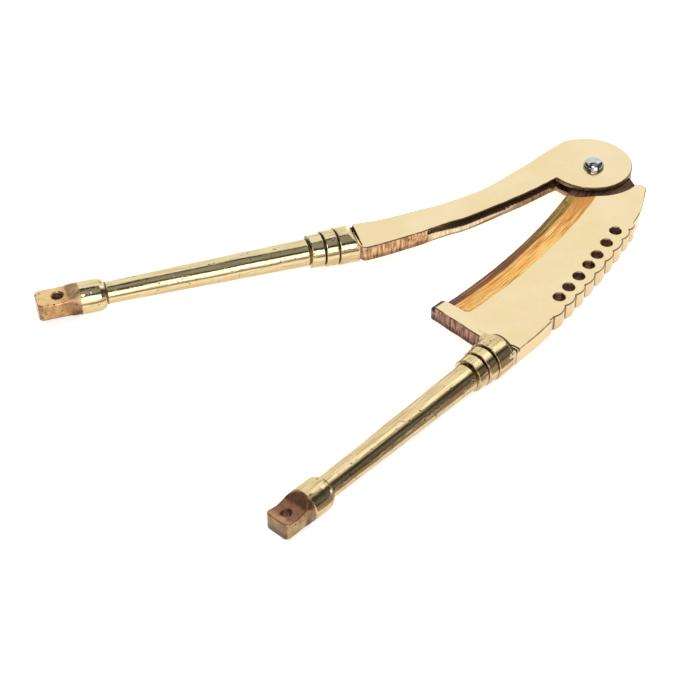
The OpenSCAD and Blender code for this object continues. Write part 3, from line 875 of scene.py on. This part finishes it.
def brass(name, polished, handled, walls, underside_shade_tint, lug_tone_and_side_shade, seed):
    """Polished cast brass; its attributes say where it is ground, cast, dark inside, gripped or filed."""
    g = Graph(name)
    place = g.node("ShaderNodeTexCoord").outputs["Object"]
    lay = g.attribute("lay").outputs["Vector"]
    finish = g.attribute("finish")
    ground, strip, cast = g.split(finish.outputs["Color"])[:3]
    dark = finish.outputs["Alpha"]
    zone = g.attribute("zone")
    lug, grip, cream = g.split(zone.outputs["Color"])[:3]
    black = zone.outputs["Alpha"]
    outline, height_mm, notch = g.parts(g.attribute("spot").outputs["Vector"])
    turned_down, along, across = g.parts(g.attribute("form").outputs["Vector"])

    cloud = g.noise(place, 45.0 + seed, 3.0)
    patchy = g.noise(place, 210.0 + seed, 4.0, 0.62)
    fine = g.noise(place, 900.0, 3.0)
    broad = g.noise(lay, 0.55, 3.0, 0.6)
    streak = g.noise(lay, 1.25, 4.0, 0.65)
    hair = g.noise(lay, 4.5, 3.0, 0.6)
    specks = g.cells(place, 620.0)
    worn = g.ramp(g.noise(place, 190.0, 2.0), 0.45, 0.60)
    pitted = g.plus(g.times(g.larger(lug, cast), 0.9), g.times(grip, 0.8))
    pitted = g.plus(pitted, 0.05, True)
    pits = g.times(g.times(g.ramp(specks, 0.30, 0.12), worn), pitted)

    deeper = tuple(c * k for c, k in zip(polished, (0.965, 0.935, 0.86)))
    base = g.mix(g.ramp(cloud, 0.35, 0.68), polished, deeper)
    handled = g.mix(g.ramp(streak, 0.40, 0.66), *handled)
    base = g.mix(g.times(grip, 0.9), base, handled)
    filed = g.mix(g.ramp(patchy, 0.40, 0.62), (0.84, 0.57, 0.27), (0.55, 0.31, 0.12))
    base = g.mix(g.times(lug, 0.92), base, filed)
    # Painted shade: surfaces that turn down are darkened by the underside shade tint.
    low = g.times(turned_down, g.math("SUBTRACT", 1.0, lug))
    base = g.mix(g.times(low, 0.85), base, g.tint(base, underside_shade_tint))
    # Painted dark reflection along the side of each grip.
    flank_reflection = g.times(g.times(across, -1.0, True), grip)
    flank_reflection = g.times(flank_reflection, g.ramp(streak, 0.28, 0.42))
    base = g.mix(g.times(flank_reflection, 0.93), base, FLANK_REFLECTION)
    amber, brown = ground_colours(g, along, across, streak, hair)
    cast = g.times(cast, g.blend(lug, 1.0, g.blend(g.ramp(patchy, 0.34, 0.56), 0.55, 1.0)))
    raw = wall_colour(g, walls, lug, height_mm, streak, hair, patchy)
    deep = g.mix(g.ramp(streak, 0.38, 0.60), (0.095, 0.045, 0.028), (0.40, 0.21, 0.135))
    base = g.mix(ground, base, amber)
    base = g.mix(strip, base, brown)
    pale = g.mix(g.ramp(streak, 0.40, 0.62), (0.84, 0.70, 0.48), (0.60, 0.42, 0.24))
    # Painted shade darkens the cream cheek towards its rounded foot.
    pale = g.mix(g.ramp(height_mm, -1.4, -2.2), pale, (0.16, 0.09, 0.05))
    base = g.mix(cream, base, pale)
    base = g.mix(cast, base, raw)
    # On the lug: its own tone, with painted shade on the sides that turn down.
    base = g.mix(lug, base, g.tint(base, g.mix(turned_down, *lug_tone_and_side_shade)))
    base = g.mix(tarnish_and_bottom_shade(g, outline, height_mm, notch, patchy), base, LINE)
    base = g.mix(dark, base, deep)
    base = g.mix(black, base, BLACK)
    base = g.mix(g.times(pits, 0.9), base, PIT)
    g.put(g.shader.inputs["Base Color"], base)
    shut = g.larger(dark, black)
    g.put(g.shader.inputs["Metallic"], g.blend(dark, 1.0, 0.85))

    rough = g.blend(g.ramp(cloud, 0.3, 0.7), 0.09, 0.15)
    rough = g.plus(rough, g.times(hair, 0.05))
    for where, value in ((g.times(grip, 0.7), 0.06), (lug, 0.24), (ground, 0.30), (strip, 0.36),
                         (g.larger(cast, cream), 0.42), (shut, 0.55)):
        rough = g.blend(where, rough, value)
    rough = g.plus(rough, g.times(pits, 0.25), True)
    g.put(g.shader.inputs["Roughness"], rough)

    marks = g.plus(g.times(streak, 0.6), g.times(hair, 0.4))
    how_deep = g.larger(g.larger(ground, strip), cast)
    how_deep = g.plus(how_deep, g.times(lug, 0.35))
    how_deep = g.plus(how_deep, g.times(grip, 0.20))
    relief = g.times(marks, g.plus(how_deep, 0.03))
    relief = g.math("SUBTRACT", relief, g.times(pits, 0.35))
    for texture, where, share in ((broad, grip, 0.6), (patchy, lug, 0.5), (fine, shut, 0.5)):
        relief = g.plus(relief, g.times(g.times(texture, where), share))
    g.put(g.shader.inputs["Normal"], g.bump(relief, 0.00012))
    return g.material


def steel(name):
    g = Graph(name)
    place = g.node("ShaderNodeTexCoord").outputs["Object"]
    cloud = g.noise(place, 300.0, 3.0)
    hair = g.noise(g.scaled(place, (1.0, 5.0, 1.0)), 900.0, 2.0)
    base = g.mix(g.ramp(cloud, 0.35, 0.7), (0.62, 0.62, 0.64), (0.50, 0.50, 0.51))
    g.put(g.shader.inputs["Base Color"], base)
    g.shader.inputs["Metallic"].default_value = 1.0
    g.put(g.shader.inputs["Roughness"], g.blend(g.ramp(hair, 0.3, 0.7), 0.08, 0.17))
    g.put(g.shader.inputs["Normal"], g.bump(cloud, 0.00004))
    return g.material


brass_a = brass(
    "slotted_arm_brass_look", seed=0.0,
    polished=(0.925, 0.77, 0.485), handled=((0.82, 0.71, 0.43), (0.66, 0.50, 0.25)),
    walls=((0.30, 0.155, 0.075), (0.76, 0.47, 0.25)),
    underside_shade_tint=(0.72, 0.65, 0.57), lug_tone_and_side_shade=((1.0, 1.0, 1.0), (0.38, 0.28, 0.22)))
brass_b = brass(
    "blade_arm_brass_look", seed=7.0,
    polished=(0.925, 0.77, 0.475), handled=((0.80, 0.65, 0.37), (0.58, 0.40, 0.18)),
    walls=((0.10, 0.045, 0.030), (0.40, 0.22, 0.15)),
    underside_shade_tint=(0.60, 0.52, 0.46), lug_tone_and_side_shade=((0.60, 0.50, 0.48), (0.41, 0.46, 0.44)))
bright_steel = steel("rivet_steel_look")

build_arm("slotted_arm_casting", "slotted_arm", "slotted_arm_body", brass_a,
          slotted_field, (-14.4, -17.2, -7.0), (188.4, 18.8, 7.0), SLOTTED_DIR, slotted_marks)
build_arm("blade_arm_casting", "blade_arm", "blade_arm_body", brass_b,
          blade_field, (-12.0, -12.0, -7.0), (186.0, 41.5, 7.0), BLADE_DIR, blade_marks)


def lathe(name, profile, segments, uneven):
    """A turned piece about the rivet's axis, from (radius, height) pairs in millimetres."""
    bm = bmesh.new()
    rings = []
    for r, h in profile:
        ring = []
        for k in range(segments):
            a = 2 * math.pi * k / segments
            rr = r * (1 + uneven * math.sin(3 * a + 2.0 * h) + 0.6 * uneven * math.sin(5 * a + 1.0))
            point = PIVOT + np.array([rr * math.cos(a), rr * math.sin(a), h])
            ring.append(bm.verts.new(tuple(point / MM_PER_M)))
        rings.append(ring)
    for lower, upper in zip(rings, rings[1:]):
        for k in range(segments):
            bm.faces.new((lower[k], lower[(k + 1) % segments], upper[(k + 1) % segments], upper[k]))
    bm.faces.new(list(reversed(rings[0])))
    bm.faces.new(rings[-1])
    for f in bm.faces:
        f.smooth = True
    mesh = bpy.data.meshes.new(name)
    bm.to_mesh(mesh)
    bm.free()
    piece = bpy.data.objects.new(name, mesh)
    bpy.context.scene.collection.objects.link(piece)
    return piece


def dome_profile():
    """Hammered tail, shank and snap head, from the underside up."""
    steps, rim_r, rim_z, rise = 19, 3.41, 3.3, 2.62
    tail = [(1.2, -4.45), (2.1, -4.35), (2.75, -3.95), (3.05, -3.4), (3.2, -3.03)]
    shank = [(BORE_R_A, -3.02), (BORE_R_A, 0.0), (BORE_R_A, 3.02)]
    rim = [(3.1, 3.02), (3.38, 3.12), (3.42, 3.3)]
    angles = [math.radians(90 * k / steps) for k in range(1, steps)]
    cap = [(rim_r * math.cos(a) ** 0.94, rim_z + rise * math.sin(a)) for a in angles]
    return tail + shank + rim + cap + [(0.12, 5.925)]


rivet = lathe("pivot_rivet_steel", dome_profile(), 64, 0.006)
rivet.data.materials.append(bright_steel)
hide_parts("pivot_rivet")
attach(rivet, "slotted_arm_body")

# ---- the studio: a pale floor, a wide panel behind, and soft boxes and fills around the tool ----

scene = bpy.context.scene
scene.view_settings.view_transform = "Standard"
scene.view_settings.look = "None"


def stage_floor():
    bm = bmesh.new()
    bmesh.ops.create_grid(bm, x_segments=2, y_segments=2, size=4.0)
    mesh = bpy.data.meshes.new("floor")
    bm.to_mesh(mesh)
    bm.free()
    floor = bpy.data.objects.new("floor", mesh)
    scene.collection.objects.link(floor)
    g = Graph("floor_look")
    g.shader.inputs["Base Color"].default_value = (0.90, 0.90, 0.90, 1)
    g.shader.inputs["Emission Color"].default_value = (1.0, 1.0, 1.0, 1)
    g.shader.inputs["Emission Strength"].default_value = 0.62
    g.shader.inputs["Roughness"].default_value = 0.9
    g.shader.inputs["Specular IOR Level"].default_value = 0.0
    floor.data.materials.append(g.material)


def panel(name, azimuth, elevation, distance, width, height, radiance, seen=True):
    """A rectangular soft light that faces the tool; radiance is the brightness it shows in a mirror."""
    light = bpy.data.lights.new(name, "AREA")
    light.shape = "RECTANGLE"
    light.size, light.size_y = width, height
    light.energy = radiance * math.pi * width * height
    o = bpy.data.objects.new(name, light)
    scene.collection.objects.link(o)
    a, e = math.radians(azimuth), math.radians(elevation)
    o.location = Vector((math.cos(e) * math.cos(a), math.cos(e) * math.sin(a), math.sin(e))) * distance
    o.rotation_euler = (-o.location).to_track_quat("-Z", "Y").to_euler()
    o.visible_glossy = seen


stage_floor()
panel("back_panel", 48, 38.5, 1.3, 3.0, 2.14, 0.93)
panel("side_panel", -18, 53, 1.3, 0.75, 0.55, 0.40)
panel("front_soft_box", -108, 17, 1.2, 0.80, 0.66, 2.3)
panel("front_upper_fill", -95, 68, 1.25, 1.05, 0.85, 0.27)
panel("camera_side_window", -141, 44, 1.3, 0.72, 0.56, 2.8)
panel("camera_side_fill", -143, 14, 1.3, 0.75, 0.50, 0.75)
panel("right_low_fill", -45, 12, 1.25, 0.85, 0.75, 0.10)
panel("left_back_fill", 133, 47, 1.3, 0.75, 0.65, 0.42)
panel("top_soft_box", 90, 85, 1.6, 2.6, 2.6, 0.50, seen=False)

world = bpy.data.worlds.new("studio")
world.use_nodes = True
world.node_tree.nodes["Background"].inputs["Color"].default_value = (0.055, 0.055, 0.055, 1)
scene.world = world

camera_data = bpy.data.cameras.new("camera")
camera_data.lens = 95.43
camera_data.sensor_width = 36
camera = bpy.data.objects.new("camera", camera_data)
scene.collection.objects.link(camera)
look_at = Vector((-0.0306, -0.0058, 0.0))
camera.location = Vector((-0.2915, -0.3189, 0.3543))
camera.rotation_euler = (look_at - camera.location).to_track_quat("-Z", "Y").to_euler()
scene.camera = camera
